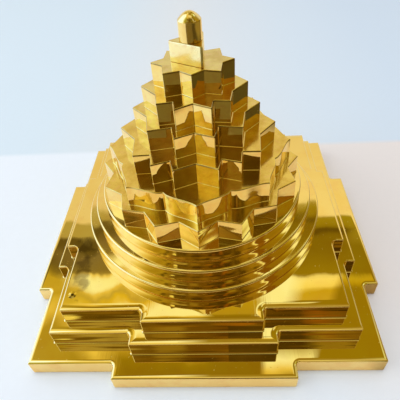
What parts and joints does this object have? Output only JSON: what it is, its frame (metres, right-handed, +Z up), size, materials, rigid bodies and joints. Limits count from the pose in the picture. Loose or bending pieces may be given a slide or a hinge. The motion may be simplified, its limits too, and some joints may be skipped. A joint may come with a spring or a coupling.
{
  "type": "meru shri yantra",
  "caption": "Stepped pyramid of stacked polished brass plates: gated squares, round steps, lotus petals and star plates that narrow to a triangle and a blunt conical point.",
  "frame": {"origin": "centre of the underside of the lowest plate", "axes": "+Z up through the bindu, -Y towards the viewer of the picture, +X to that viewer's right"},
  "size_m": [0.1524, 0.1524, 0.1146],
  "materials": {
    "polished_brass": "mirror polished",
    "zinc_steel": "zinc plated"
  },
  "bodies": {
    "root": {"lower_square_plate": "polished_brass", "middle_square_plate": "polished_brass", "upper_square_plate": "polished_brass", "lower_round_step": "polished_brass", "middle_round_step": "polished_brass", "upper_round_step": "polished_brass", "sixteen_petal_plate": "polished_brass", "eight_petal_plate": "polished_brass", "fourteen_point_star": "polished_brass", "outer_ten_point_star": "polished_brass", "inner_ten_point_star": "polished_brass", "eight_point_star": "polished_brass", "triangle_block": "polished_brass", "bindu_finial": "polished_brass", "tie_rod": "zinc_steel", "tie_rod_nut": "zinc_steel", "tie_rod_washer": "zinc_steel", "lower_dowel_left": "zinc_steel", "lower_dowel_right": "zinc_steel", "upper_dowel_left": "zinc_steel", "upper_dowel_right": "zinc_steel"}
  },
  "joints": []
}
